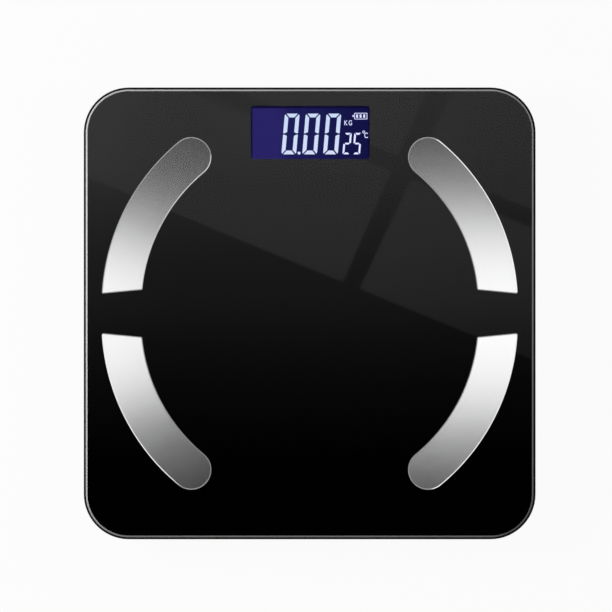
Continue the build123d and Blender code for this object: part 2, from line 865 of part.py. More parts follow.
def make_door():
    half = bay_half_length + door_lap
    rear = opening_rear - door_gap
    plate = block(-half, half, hinge_y, rear, tray_bottom, door_top)
    rounded = Pos(-half, hinge_y, hinge_z) * Rot(0, 90, 0) * Cylinder(
        door_thickness / 2, 2 * half, align=upright
    )
    door = plate + rounded
    tab_low = tray_floor + hinge_tab_gap
    for side in (-1, 1):
        middle = side * hinge_tab_spacing / 2
        low, high = middle - hinge_tab_width / 2, middle + hinge_tab_width / 2
        inner, tab_top = hinge_y + hinge_tab_thickness, tab_low + hinge_tab_thickness
        web = block(low, high, hinge_y, inner, hinge_z, tab_top)
        tab = block(low, high, opening_front - hinge_tab_reach, inner, tab_low, tab_top)
        door = door + web + tab
    first = opening_rear - door_gap - grip_rib_pitch
    for k in range(grip_rib_count):
        y = first - grip_rib_pitch * k
        side, end = grip_rib_length / 2, grip_rib_width / 2
        door += block(-side, side, y - end, y + end, tray_bottom - grip_rib_height, tray_bottom)
    return door


def make_latch():
    """Spring leaf on the door with a nib that hooks over the tray floor."""
    nib_low = tray_floor + hinge_tab_gap
    rear = opening_rear - door_gap - 2 * hinge_tab_gap
    half = latch_width / 2
    leaf = block(-half, half, rear - latch_leaf, rear, door_top, door_top + latch_height)
    reach = opening_rear + latch_bite
    profile = Plane.YZ * make_face(
        Polyline((rear, nib_low), (reach, nib_low), (rear, nib_low + latch_nib), close=True)
    )
    nib = Pos(-half, 0, 0) * extrude(profile, latch_width)
    return leaf + nib


# Leads: straight runs joined by tangent arcs, lying on the ribs or taped under the glass
def lead(points, radius):
    vectors = [Vector(*p) for p in points]
    radii = []
    for before, here, after in zip(vectors, vectors[1:], vectors[2:]):
        turn = math.radians((here - before).get_angle(after - here))
        shorter = min((here - before).length, (after - here).length)
        radii.append(min(lead_bend, lead_bend_share * shorter / math.tan(turn / 2)))
    path = FilletPolyline(*points, radius=radii)
    return sweep(Plane(origin=path @ 0, z_dir=path % 0) * Circle(radius), path=path)


def header_slot(k):
    """Place of a lead on the wire header, counted outwards from the middle."""
    return (k + 0.5) * header_pitch


def lead_row(k):
    """Line in front of the board along which leads run sideways."""
    return board_front - k * lead_row_pitch


def cell_lead(end):
    """Load cell lead of the right side, from the gauge bead to the wire header."""
    start_x = foot_x - bead_width / 2
    start_y = end * (foot_y - tongue_root - bead_inset + bead_length / 2)
    if end > 0:
        lane, row, arrive = board_width / 2 + cell_lead_clear, lead_row(1), header_slot(4)
    else:
        lane, row, arrive = cell_lead_lane, lead_row(2), header_slot(3)
    z = lead_height
    route = [(start_x, start_y, z), (lane, start_y, z), (lane, row, z), (arrive, row, z)]
    return lead(route + [(arrive, header_front, z)], cell_lead_radius)


def electrode_lead(end):
    """Electrode lead of the right side, from the terminal's barrel to the wire header."""
    z = film_bottom - lead_gap - barrel_radius
    start_x = stud_x - terminal_radius - barrel_length
    if end > 0:
        row, arrive = lead_row(2), header_slot(2)
        turn_x = start_x - electrode_lead_run
        route = [(start_x, stud_y, z), (turn_x, stud_y, z), (turn_x - electrode_lead_run, row, z)]
    else:
        row, arrive = lead_row(lead_rows), header_slot(1)
        lane = electrode_lead_lane
        route = [(start_x, -stud_y, z), (lane, -stud_y, z), (lane, row, z)]
    route += [(arrive, row, z), (arrive, header_front - lead_drop, lead_height)]
    return lead(route + [(arrive, header_front, lead_height)], electrode_lead_radius)


def battery_lead(row_side):
    """Battery lead from a contact's tail to the wire header."""
    start_x = -bay_half_length - bay_wall - contact_tail
    start_y = bay_y + row_side * battery_pitch / 2
    if row_side > 0:
        lane, row, arrive = start_x - battery_lead_run, lead_row(lead_rows), header_slot(0)
    else:
        lane, row, arrive = start_x - 2 * battery_lead_run, lead_row(lead_rows - 1), -header_slot(0)
    z = lead_height
    route = [(start_x, start_y, z), (lane, start_y, z), (lane, row, z), (arrive, row, z)]
    return lead(route + [(arrive, header_front, z)], battery_lead_radius)


def build():
    """Every node of the scale by name, each a list of solids."""
    minus, plus, bridge = make_contacts()
    spring = make_spring()
    nodes = {
        "glass_platform": [make_glass()],
        "backing_film": [make_film()],
        "glass_tape": [make_tape()],
        "base_tray": [make_tray()],
        "lcd_panel": [make_lcd()],
        "lcd_gasket": [make_gasket()],
        "backlight_panel": [make_backlight()],
        "lcd_contact_strip": [make_contact_strip()],
        "lcd_frame": [make_display_frame()],
        "main_board": [make_board()],
        "controller_chip": [make_chip()],
        "board_components": make_components(),
        "wire_header": [make_header()],
        "board_screws": [screw(x, y, board_top) for x, y in board_bolts],
        "switch_body": [make_switch_body()],
        "switch_plunger": [make_plunger()],
        "unit_button": [make_button()],
        "battery_rear": [make_battery(1)],
        "battery_front": [make_battery(-1)],
        "battery_contact_minus": [minus],
        "battery_contact_plus": [plus],
        "battery_contact_bridge": [bridge],
        "battery_springs": [spring, turned(spring)],
        "battery_leads": [battery_lead(1), battery_lead(-1)],
        "battery_door": [make_door()],
        "door_latch": [make_latch()],
        "retainer_screws": retainer_screws(),
    }
    electrode, terminal, nut = make_electrode(), make_terminal(), make_nut()
    nodes["electrode_terminals"] = [to_corner(terminal, *c) for c in corners.values()]
    nodes["electrode_nuts"] = [to_corner(nut, *c) for c in corners.values()]
    rear_right = {
        "electrode": electrode,
        "foot_cup": make_foot(),
        "foot_pad": make_pad(),
        "foot_screw": screw(foot_x, foot_y, cell_top),
        "load_cell": make_load_cell(),
        "gauge_bead": make_gauge_bead(),
        "cell_retainer": make_retainer(),
    }
    for corner, (side, end) in corners.items():
        for piece, shape in rear_right.items():
            nodes[f"{piece}_{corner}"] = [to_corner(shape, side, end)]
    nodes["load_cell_leads"] = [to_corner(cell_lead(end), side, 1) for side, end in corners.values()]
    nodes["electrode_leads"] = [to_corner(electrode_lead(end), side, 1) for side, end in corners.values()]
    return nodes


if __name__ == "__main__":
    os.makedirs("parts", exist_ok=True)
    for name, solids in build().items():
        shape = solids[0] if len(solids) == 1 else Compound(solids)
        export_step(shape, f"parts/{name}.step")
    print(f"overall height {glass_top + electrode_thickness:.1f} mm")
    print(f"contact spring: least gap between turns {spring_gap():.2f} mm")
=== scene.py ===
import math

import bpy
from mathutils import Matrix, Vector


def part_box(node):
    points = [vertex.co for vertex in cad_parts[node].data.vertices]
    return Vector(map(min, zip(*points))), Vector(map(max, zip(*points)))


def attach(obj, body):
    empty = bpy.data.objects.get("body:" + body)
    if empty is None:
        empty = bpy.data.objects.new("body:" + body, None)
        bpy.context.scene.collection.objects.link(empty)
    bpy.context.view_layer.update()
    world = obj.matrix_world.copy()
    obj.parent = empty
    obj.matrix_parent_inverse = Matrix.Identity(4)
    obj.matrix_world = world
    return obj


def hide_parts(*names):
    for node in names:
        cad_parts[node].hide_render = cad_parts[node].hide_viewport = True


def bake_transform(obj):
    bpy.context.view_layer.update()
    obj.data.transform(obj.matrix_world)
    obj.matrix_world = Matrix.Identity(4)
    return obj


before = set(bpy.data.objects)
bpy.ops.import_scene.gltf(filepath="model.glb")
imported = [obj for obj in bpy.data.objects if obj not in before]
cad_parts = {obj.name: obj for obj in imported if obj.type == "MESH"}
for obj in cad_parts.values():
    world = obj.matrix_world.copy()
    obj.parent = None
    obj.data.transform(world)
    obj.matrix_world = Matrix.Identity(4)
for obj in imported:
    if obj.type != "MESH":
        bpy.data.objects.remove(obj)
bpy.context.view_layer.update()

scene = bpy.context.scene
scene.view_settings.view_transform = "Standard"


# The base tray: one injection moulding of black ABS with a fine spark texture, which
# carries everything else. Its polished rim shows as a thin dark line round the glass.


class Shade:
    """A shader socket that arithmetic works on: each step adds its node to the tree."""

    def __init__(self, tree, socket=None):
        self.tree = tree
        self.socket = socket

    def node(self, kind, settings=None, sockets=None, out=0):
        """Any node: its settings first, then the values or links of its sockets."""
        made = self.tree.nodes.new(kind)
        for name, value in (settings or {}).items():
            if name == "stops":
                elements = made.color_ramp.elements
                elements[0].position, elements[0].color = value[0]
                elements[1].position, elements[1].color = value[-1]
                for place, colour in value[1:-1]:
                    elements.new(place).color = colour
            else:
                setattr(made, name, value)
        for key, value in (sockets or {}).items():
            if isinstance(value, Shade):
                self.tree.links.new(value.socket, made.inputs[key])
            else:
                made.inputs[key].default_value = value
        return Shade(self.tree, made.outputs[out] if made.outputs else None)

    def maths(self, operation, first, second=0.0):
        return self.node("ShaderNodeMath", {"operation": operation}, {0: first, 1: second})

    def __add__(self, other):
        return self.maths("ADD", self, other)

    __radd__ = __add__

    def __sub__(self, other):
        return self.maths("SUBTRACT", self, other)

    def __rsub__(self, other):
        return self.maths("SUBTRACT", other, self)

    def __mul__(self, other):
        return self.maths("MULTIPLY", self, other)

    __rmul__ = __mul__

    def __truediv__(self, other):
        return self.maths("DIVIDE", self, other)

    def __abs__(self):
        return self.maths("ABSOLUTE", self)

    def rise(self, low, high):
        """0 on low's side, 1 on high's side and smooth between them."""
        sockets = {"Value": self, "From Min": low, "From Max": high}
        return self.node("ShaderNodeMapRange", {"interpolation_type": "SMOOTHSTEP"}, sockets)

    def mix(self, low, high):
        """The colour low where this is 0, high where it is 1."""
        return self.node("ShaderNodeMix", {"data_type": "RGBA"}, {0: self, 6: low, 7: high}, 2)

    def axes(self):
        """The x, y and z of a vector."""
        return [self.node("ShaderNodeSeparateXYZ", None, {0: self}, axis) for axis in range(3)]

    def grain(self, size, detail=2.0):
        """Noise of that size in metres over this position, from 0 to 1."""
        sockets = {"Vector": self, "Scale": 1.0 / size, "Detail": detail}
        return self.node("ShaderNodeTexNoise", None, sockets)

    def bump(self, depth):
        """This height, from 0 to 1, as a normal for a relief of that depth in metres."""
        sockets = {"Strength": 1.0, "Distance": depth, "Height": self}
        return self.node("ShaderNodeBump", None, sockets)


def rgb(red, green, blue):
    """A colour picked on screen, 0 to 255, as linear light."""
    share = [value / 255 for value in (red, green, blue)]
    linear = [s / 12.92 if s <= 0.04045 else ((s + 0.055) / 1.055) ** 2.4 for s in share]
    return (*linear, 1.0)


def darker(colour, share):
    """A colour with that share of its light."""
    return tuple(share * part for part in colour[:3]) + (1.0,)


def finish(name, **plain):
    """A new material with plain socket values: itself, its shader and the position."""
    material = bpy.data.materials.new(name)
    material.use_nodes = True
    surface = material.node_tree.nodes["Principled BSDF"]
    for socket, value in plain.items():
        surface.inputs[socket.replace("_", " ")].default_value = value
    place = Shade(material.node_tree).node("ShaderNodeTexCoord", out="Object")
    return material, surface, place


def feed(surface, **links):
    """Links what varies over the surface to the shader's sockets."""
    for socket, shade in links.items():
        shade.tree.links.new(shade.socket, surface.inputs[socket.replace("_", " ")])


def dress(material, *nodes):
    """Gives CAD nodes their material."""
    for node in nodes:
        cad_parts[node].data.materials.clear()
        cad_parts[node].data.materials.append(material)


spark_size = 0.0005
flow_size = 0.035


def moulded(name, colour, rough, texture=spark_size, relief=0.00003):
    """Moulded plastic: spark texture, faint flow marks and a little rubbed sheen."""
    material, surface, place = finish(name, Specular_IOR_Level=0.4)
    spark = place.grain(texture, 3.0)
    flow = place.grain(flow_size, 4.0)
    feed(surface, Base_Color=(flow * 0.6 + spark * 0.4).mix(darker(colour, 0.82), colour))
    feed(surface, Roughness=rough + (flow - 0.5) * 0.12 + (spark - 0.5) * 0.1)
    feed(surface, Normal=spark.bump(relief))
    return material


texture_top = 0.0172
polish_bottom = 0.0186
tray_relief = 0.00004
tray_abs, surface, place = finish("tray_abs", Specular_IOR_Level=0.2)
smooth = place.axes()[2].rise(texture_top, polish_bottom)
spark = place.grain(spark_size, 3.0)
flow = place.grain(flow_size, 4.0)
# Below the rim the body is a lighter charcoal than the rim. This is partly the greyer look of spark
# texture and partly painted light that lifts the dim underside.
textured_with_painted_light = (flow * 0.5 + spark * 0.5).mix(rgb(40, 40, 42), rgb(50, 50, 53))
feed(surface, Base_Color=smooth.mix(textured_with_painted_light, rgb(20, 20, 21)))
feed(surface, Roughness=0.58 + (flow - 0.5) * 0.1 + (spark - 0.5) * 0.1)
feed(surface, Normal=((1.0 - smooth) * spark).bump(tray_relief))
dress(tray_abs, "base_tray")


# The four feet: a cup of black ABS that screws up to its load cell, and a glued disc of
# grey rubber with moulded rings that grips the floor.
corners = ["front_left", "front_right", "rear_left", "rear_right"]


def at_corners(name):
    """The four nodes of that name, one for each corner."""
    return [name + "_" + corner for corner in corners]


fine_spark = 0.0004
cup_abs = moulded("cup_abs", rgb(40, 40, 43), 0.42, fine_spark)
dress(cup_abs, *at_corners("foot_cup"))


def soft_rubber(name, colour, rough):
    """Matt rubber or foam: fine pores and a dusty bloom."""
    material, surface, place = finish(name, Specular_IOR_Level=0.3)
    pores = place.grain(0.0003, 2.0)
    bloom = place.grain(0.006, 4.0)
    dusty = tuple(0.75 * part + 0.05 for part in colour[:3]) + (1.0,)
    feed(surface, Base_Color=(bloom.rise(0.45, 0.75) * 0.6 + pores * 0.2).mix(colour, dusty))
    feed(surface, Roughness=rough + (bloom - 0.5) * 0.15)
    feed(surface, Normal=pores.bump(0.00004))
    return material


pad_rubber = soft_rubber("pad_rubber", rgb(82, 82, 84), 0.8)
dress(pad_rubber, *at_corners("foot_pad"))


def rolled_metal(name, colour, rough, lay=(1.0, 0.12, 1.0), line=0.0003):
    """Plated or rolled metal: fine lines along one way and a cloudy sheen."""
    material, surface, place = finish(name, Metallic=1.0)
    along = place.node("ShaderNodeMapping", None, {"Vector": place, "Scale": lay})
    lines = along.grain(line, 2.0)
    cloud = place.grain(0.008, 3.0)
    feed(surface, Base_Color=(cloud * 0.6 + lines * 0.4).mix(darker(colour, 0.8), colour))
    feed(surface, Roughness=rough + (lines - 0.5) * 0.12 + (cloud - 0.5) * 0.1)
    feed(surface, Normal=lines.bump(0.000008))
    return material


screw_steel = rolled_metal("screw_steel", rgb(196, 196, 192), 0.3, (1.0, 1.0, 0.15))
dress(screw_steel, *at_corners("foot_screw"))


# The load cells: stamped and plated steel springs in the corners, held down by moulded
# retainers and their screws. The tongue of each carries a gauge potted in white resin at
# its root.
cell_steel = rolled_metal("cell_steel", rgb(188, 186, 178), 0.28)
resin_texture = 0.0012
resin_relief = 0.00008
gauge_resin = moulded("gauge_resin", rgb(226, 222, 208), 0.3, resin_texture, resin_relief)
cell_round = 0.004
tongue_half = 0.006
tongue_root = 0.01
tongue_tip = 0.0105
slot_width = 0.0025
slot_round = 0.00075
screw_hole = 0.0014
post_radius = 0.0045
bead_round = 0.0009
bend_steps = 22


def rounded(low, high, radius, steps=12):
    """A rectangle's outline with round corners, anticlockwise."""
    outline = []
    for across, along, start in [(1, 1, 0), (0, 1, 90), (0, 0, 180), (1, 0, 270)]:
        middle_x = high[0] - radius if across else low[0] + radius
        middle_y = high[1] - radius if along else low[1] + radius
        for step in range(steps + 1):
            turn = math.radians(start + 90 * step / steps)
            outline.append((middle_x + radius * math.cos(turn), middle_y + radius * math.sin(turn)))
    return outline


def finished(name, mesh, material):
    """A mesh as an object of the scene, in its material."""
    mesh.materials.append(material)
    piece = bpy.data.objects.new(name, mesh)
    scene.collection.objects.link(piece)
    return piece


def from_faces(name, points, faces, material):
    """An object from its points and faces."""
    mesh = bpy.data.meshes.new(name)
    mesh.from_pydata(points, [], faces)
    return finished(name, mesh, material)


def plain_mesh(name, curve):
    """A curve or text as a plain mesh."""
    maker = bpy.data.objects.new(name, curve)
    scene.collection.objects.link(maker)
    ready = maker.evaluated_get(bpy.context.evaluated_depsgraph_get())
    mesh = bpy.data.meshes.new_from_object(ready)
    bpy.data.objects.remove(maker)
    return mesh


def flat_ring(name, outlines, low, high, material):
    """A sheet with openings, as a filled curve made a mesh, between two heights."""
    curve = bpy.data.curves.new(name, "CURVE")
    curve.dimensions = "2D"
    curve.fill_mode = "BOTH"
    curve.extrude = (high - low) / 2
    for outline in outlines:
        line = curve.splines.new("POLY")
        line.points.add(len(outline) - 1)
        line.use_cyclic_u = True
        for corner, (x, y) in zip(line.points, outline):
            corner.co = (x, y, 0.0, 1.0)
    flat = plain_mesh(name, curve)
    for vertex in flat.vertices:
        vertex.co.z += (high + low) / 2
    return finished(name, flat, material)


for corner in corners:
    low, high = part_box("load_cell_" + corner)
    axis = (low + high) / 2
    outward = math.copysign(1.0, axis.y)
    root_y = axis.y - outward * tongue_root
    tip_y = axis.y + outward * (tongue_tip + slot_width)
    opening = rounded(
        (axis.x - tongue_half - slot_width, min(root_y, tip_y)),
        (axis.x + tongue_half + slot_width, max(root_y, tip_y)),
        slot_round,
    )
    outline = rounded(low, high, cell_round)
    cell_frame = flat_ring("load_cell_frame_" + corner, [outline, opening], low.z, high.z, cell_steel)
    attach(cell_frame, "housing")

    edge = []
    for step in range(bend_steps + 1):
        along = (tongue_root - post_radius) * step / bend_steps
        short = max(slot_round - along, 0.0)
        flare = slot_round - math.sqrt(slot_round**2 - short**2)
        edge.append((tongue_half + flare, along - tongue_root))
    edge.append((tongue_half, tongue_tip))
    outline = [(axis.x + u, axis.y + outward * v) for u, v in edge]
    outline += [(axis.x - u, axis.y + outward * v) for u, v in edge[::-1]]
    hole_low = (axis.x - screw_hole, axis.y - screw_hole)
    hole_high = (axis.x + screw_hole, axis.y + screw_hole)
    hole = rounded(hole_low, hole_high, screw_hole, steps=6)
    tongue = flat_ring("load_cell_tongue_" + corner, [outline, hole], low.z, high.z, cell_steel)

    low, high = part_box("gauge_bead_" + corner)
    points = []
    for step in range(bend_steps + 1):
        y = low.y + (high.y - low.y) * step / bend_steps
        short = max(bead_round - min(y - low.y, high.y - y), 0.0)
        top = high.z - bead_round + math.sqrt(bead_round**2 - short**2)
        points += [(low.x, y, low.z), (high.x, y, low.z), (high.x, y, top), (low.x, y, top)]
    faces = [(0, 1, 2, 3), tuple(len(points) - k for k in (1, 2, 3, 4))]
    for start in range(0, 4 * bend_steps, 4):
        for side in range(4):
            a, b = start + side, start + (side + 1) % 4
            faces.append((a, a + 4, b + 4, b))
    potting = from_faces("gauge_potting_" + corner, points, faces, gauge_resin)

    for piece in (tongue, potting):
        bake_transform(piece)
    for piece in (cell_frame, tongue):
        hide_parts("load_cell_" + corner)
    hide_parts("gauge_bead_" + corner)

white_abs = moulded("white_abs", rgb(222, 222, 216), 0.45)
dress(white_abs, *at_corners("cell_retainer"))
dress(screw_steel, "retainer_screws")


# The leads: insulated wires laid along the tray from the cells, the electrodes and the
# batteries to the board, soldered at each end.


def insulated(name, colour):
    """Extruded insulation: faint rings of drawing and a smooth waxy sheen."""
    material, surface, place = finish(name, Specular_IOR_Level=0.5)
    mottle = place.grain(0.004, 3.0)
    drawn = place.grain(0.0002, 1.0)
    feed(surface, Base_Color=mottle.mix(darker(colour, 0.72), colour))
    feed(surface, Roughness=0.38 + (mottle - 0.5) * 0.2)
    feed(surface, Normal=drawn.bump(0.00001))
    return material


dress(insulated("cell_cable", rgb(205, 205, 200)), "load_cell_leads")
dress(insulated("electrode_wire", rgb(38, 62, 128)), "electrode_leads")
dress(insulated("battery_wire", rgb(168, 30, 26)), "battery_leads")


# The batteries: two AAA cells with a plain printed sleeve shrunk on a steel can, between
# nickel-plated contact plates, coil springs and a bridge.
sleeve_end = 0.0115
sleeve_edge = 0.0001
jacket, surface, place = finish("battery_jacket", Specular_IOR_Level=0.5)
facing = place.node("ShaderNodeNewGeometry", out="Normal").axes()[0]
can_end = abs(facing).rise(0.6, 0.8)
bare_can = abs(place.axes()[0]).rise(sleeve_end, sleeve_end + sleeve_edge)
sleeve = bare_can.mix(rgb(52, 82, 104), rgb(196, 199, 200))
feed(surface, Base_Color=can_end.mix(sleeve, rgb(205, 205, 203)))
feed(surface, Metallic=can_end.maths("MAXIMUM", can_end, bare_can * 0.85))
feed(surface, Roughness=0.26 + place.grain(0.003, 3.0) * 0.14)
feed(surface, Normal=place.grain(0.0015, 2.0).bump(0.00002))
dress(jacket, "battery_rear", "battery_front")
contact_plate = rolled_metal("contact_plate", rgb(205, 203, 196), 0.24, (1.0, 1.0, 0.2))
dress(contact_plate, "battery_contact_minus", "battery_contact_plus", "battery_contact_bridge")
dress(contact_plate, "battery_springs")


# The battery door: a black ABS lid with a hinge at one edge and a springy latch leaf at
# the other, moulded a little glossier than the tray round it.
door_abs = moulded("door_abs", rgb(37, 37, 39), 0.4, fine_spark)
dress(door_abs, "battery_door", "door_latch")


# The main board: green lacquered laminate with copper tracks under the lacquer, a potted
# chip, small soldered parts, the wire header and its four screws.
laminate, surface, place = finish("board_laminate", Specular_IOR_Level=0.5)
plan = place.node("ShaderNodeMapping", None, {"Vector": place, "Scale": (1.0, 1.0, 0.0)})
maze = {"Vector": plan, "Scale": 420.0, "Mortar Size": 0.16, "Brick Width": 1.4}
track = plan.node("ShaderNodeTexBrick", {"offset": 0.37, "squash": 0.6}, maze, "Fac")
lacquer = plan.grain(0.012, 3.0).mix(rgb(12, 66, 36), rgb(20, 88, 48))
feed(surface, Base_Color=track.mix(lacquer, rgb(46, 122, 66)))
feed(surface, Roughness=0.3 + track * 0.1)
feed(surface, Normal=track.bump(0.00003))
dress(laminate, "main_board")
chip_epoxy = moulded("chip_epoxy", rgb(24, 24, 25), 0.35, 0.0003, 0.00001)
dress(chip_epoxy, "controller_chip")
tinned = rolled_metal("component_metal", rgb(186, 184, 178), 0.32, (1.0, 1.0, 1.0), 0.0006)
dress(tinned, "board_components")
dress(white_abs, "wire_header")
dress(screw_steel, "board_screws")


# The unit button: a pale ABS key in the tray's underside that presses the plunger of a
# small tact switch on the board above it.
dress(moulded("button_abs", rgb(196, 196, 192), 0.38, fine_spark), "unit_button")
dress(moulded("switch_abs", rgb(28, 28, 30), 0.4), "switch_body")
dress(moulded("plunger_abs", rgb(150, 30, 28), 0.4), "switch_plunger")


# The display: a frame holds the backlight panel, a rubber contact strip and the glass of
# the liquid crystal cell, with a foam gasket up to the film. The cell is lit blue-violet,
# brightest on the left, with painted shadow of the window's edge as a dark band round it.
dress(white_abs, "lcd_frame")
guide, surface, place = finish("light_guide", Roughness=0.25)
dots = place.grain(0.0012, 1.0).rise(0.5, 0.6)
feed(surface, Base_Color=dots.mix(rgb(196, 198, 226), rgb(240, 241, 250)))
dress(guide, "backlight_panel")
dress(soft_rubber("contact_rubber", rgb(176, 150, 150), 0.6), "lcd_contact_strip")
dress(soft_rubber("gasket_foam", rgb(20, 20, 21), 0.9), "lcd_gasket")

window_low = (-0.0364, 0.0957)
window_high = (0.0372, 0.1286)
dark_x, even_x = 0.035, -0.0122
glow_x, bright_x = -0.011, -0.0209
painted_shadow_left = (-0.0359, -0.0351)
painted_shadow_right = (0.0364, 0.0357)
painted_shadow_top = (0.1277, 0.1267)
face_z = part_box("lcd_panel")[1].z
face_skin = 0.0001
black = (0.0, 0.0, 0.0, 1.0)
cell, surface, place = finish(
    "display_glass", Roughness=0.4, Specular_IOR_Level=0.05, Emission_Strength=1.0
)
east, north, up = place.axes()
field = east.rise(dark_x, even_x).mix(rgb(19, 19, 72), rgb(29, 30, 89))
field = east.rise(glow_x, bright_x).mix(field, rgb(44, 37, 107))
# The dark band along the window's left, right and top edges is painted shadow of the window's edge.
clear_of_painted_shadow = east.rise(*painted_shadow_left) * east.rise(*painted_shadow_right) * north.rise(*painted_shadow_top)
field = clear_of_painted_shadow.mix(rgb(15, 13, 52), field)
front = place.node("ShaderNodeNewGeometry", out="Normal").axes()[2].rise(0.5, 0.9)
shown = front * up.rise(face_z - 2 * face_skin, face_z - face_skin)
feed(surface, Emission_Color=shown.mix(black, field))
feed(surface, Base_Color=place.grain(0.01, 2.0).mix(rgb(22, 22, 40), rgb(30, 30, 52)))
dress(cell, "lcd_panel")


# The segments of the display: light shapes printed by the cell's electrodes, a row of
# large slanted digits, two small ones, a point, unit marks and a battery sign.
segment_z = face_z + 0.00003
lean = 0.087
tint_bottom, tint_top = 0.098, 0.126
small_start, small_full = 0.0195, 0.0205
light_segment, surface, place = finish(
    "light_segment", Roughness=0.4, Specular_IOR_Level=0.05, Emission_Strength=1.35
)
east, north, up = place.axes()
feed(surface, Base_Color=place.grain(0.002, 2.0).mix(rgb(60, 64, 80), rgb(66, 70, 88)))
tint = north.rise(tint_bottom, tint_top).mix(rgb(198, 205, 233), rgb(190, 201, 231))
feed(surface, Emission_Color=east.rise(small_start, small_full).mix(tint, rgb(214, 215, 255)))


def spot(x, y):
    """A point of the display, in millimetres from its window's lower left, in metres."""
    return window_low[0] + x * 0.001, window_low[1] + y * 0.001


def shape(name, outlines):
    """A flat lit piece made of closed outlines on the display's face."""
    points = [(x, y, segment_z) for outline in outlines for x, y in outline]
    faces, start = [], 0
    for outline in outlines:
        area = sum(a[0] * b[1] - b[0] * a[1] for a, b in zip(outline, outline[1:] + outline[:1]))
        order = list(range(start, start + len(outline)))
        faces.append(order if area > 0 else order[::-1])
        start += len(outline)
    return from_faces(name, points, faces, light_segment)


def segments(letters, width, height, thick, gap):
    """Outlines of the lit segments of a digit in a cell, a at the top round to g."""
    half, notch = height / 2, thick * 0.2
    side = [
        (0.0, half + notch),
        (0.0, height - thick * 0.55),
        (thick * 0.1, height - thick * 0.28),
        (thick * 0.38 - gap, height - thick * 0.2),
        (thick * 1.1 - gap, height - thick),
        (thick, height - thick * 1.15),
        (thick, half + notch + thick * 0.3),
        (thick * 0.4, half + notch),
    ]
    top = [
        (thick * 0.25 + gap, height),
        (width - thick * 0.25 - gap, height),
        (width - thick * 1.1 - gap, height - thick),
        (thick * 1.1 + gap, height - thick),
    ]
    bar = [
        (thick * 0.5 + gap, half),
        (thick * 0.9 + gap, half + thick * 0.45),
        (width - thick * 0.9 - gap, half + thick * 0.45),
        (width - thick * 0.5 - gap, half),
        (width - thick * 0.9 - gap, half - thick * 0.45),
        (thick * 0.9 + gap, half - thick * 0.45),
    ]
    mirrored = {
        "a": top,
        "b": [(width - x, y) for x, y in side],
        "c": [(width - x, height - y) for x, y in side],
        "d": [(x, height - y) for x, y in top],
        "e": [(x, height - y) for x, y in side],
        "f": side,
        "g": bar,
    }
    return [[(x + y * lean, y) for x, y in mirrored[letter]] for letter in letters]


def moved(outlines, corner):
    """Outlines shifted so that a cell's lower left is at that corner."""
    return [[(x + corner[0], y + corner[1]) for x, y in outline] for outline in outlines]


def row_of_digits(name, digit, corner, count, pitch):
    """One digit repeated along a row, as a Geometry Nodes tree made into a plain mesh."""
    tree = bpy.data.node_groups.new(name, "GeometryNodeTree")
    inputs = {}
    for label, kind in [
        ("Digit", "NodeSocketObject"),
        ("Count", "NodeSocketInt"),
        ("Pitch", "NodeSocketVector"),
        ("Corner", "NodeSocketVector"),
        ("Finish", "NodeSocketMaterial"),
    ]:
        socket = tree.interface.new_socket(label, in_out="INPUT", socket_type=kind)
        inputs[label] = socket.identifier
    tree.interface.new_socket("Geometry", in_out="OUTPUT", socket_type="NodeSocketGeometry")
    given = tree.nodes.new("NodeGroupInput")
    points = tree.nodes.new("GeometryNodeMeshLine")
    points.mode = "OFFSET"
    source = tree.nodes.new("GeometryNodeObjectInfo")
    copies = tree.nodes.new("GeometryNodeInstanceOnPoints")
    real = tree.nodes.new("GeometryNodeRealizeInstances")
    coat = tree.nodes.new("GeometryNodeSetMaterial")
    result = tree.nodes.new("NodeGroupOutput")
    for out, into in [
        (given.outputs["Count"], points.inputs["Count"]),
        (given.outputs["Corner"], points.inputs["Start Location"]),
        (given.outputs["Pitch"], points.inputs["Offset"]),
        (given.outputs["Digit"], source.inputs["Object"]),
        (points.outputs["Mesh"], copies.inputs["Points"]),
        (source.outputs["Geometry"], copies.inputs["Instance"]),
        (copies.outputs["Instances"], real.inputs["Geometry"]),
        (real.outputs["Geometry"], coat.inputs["Geometry"]),
        (given.outputs["Finish"], coat.inputs["Material"]),
        (coat.outputs["Geometry"], result.inputs[0]),
    ]:
        tree.links.new(out, into)
    row = bpy.data.objects.new(name, bpy.data.meshes.new(name))
    scene.collection.objects.link(row)
    maker = row.modifiers.new("row", "NODES")
    maker.node_group = tree
    maker[inputs["Digit"]] = digit
    maker[inputs["Count"]] = count
    maker[inputs["Pitch"]] = (pitch, 0.0, 0.0)
    maker[inputs["Corner"]] = (*corner, 0.0)
    maker[inputs["Finish"]] = light_segment
    ready = row.evaluated_get(bpy.context.evaluated_depsgraph_get())
    plain = bpy.data.meshes.new_from_object(ready)
    row.modifiers.remove(maker)
    row.data = plain
    bpy.data.objects.remove(digit)
    return row


large_width, large_height = 0.00912, 0.02523
large_stroke, large_gap = 0.00234, 0.0005
large_pitch = 0.01292
large_count = 3
zero = shape("zero", segments("abcdef", large_width, large_height, large_stroke, large_gap))
digits = row_of_digits("display_digits", zero, spot(18.85, 2.95), large_count, large_pitch)


def disc(x, y, radius, steps=24):
    """A round outline on the display."""
    middle_x, middle_y = spot(x, y)
    turns = [math.tau * step / steps for step in range(steps)]
    return [(middle_x + radius * math.cos(turn), middle_y + radius * math.sin(turn)) for turn in turns]


def half_rings(x, y, radius, bore, steps=12):
    """A small ring on the display, in two halves."""
    middle_x, middle_y = spot(x, y)
    halves = []
    for start in (0.0, math.pi):
        turns = [start + math.pi * step / steps for step in range(steps + 1)]
        ways = [(math.cos(turn), math.sin(turn)) for turn in turns]
        line = [(middle_x + radius * u, middle_y + radius * v) for u, v in ways]
        line += [(middle_x + bore * u, middle_y + bore * v) for u, v in ways[::-1]]
        halves.append(line)
    return halves


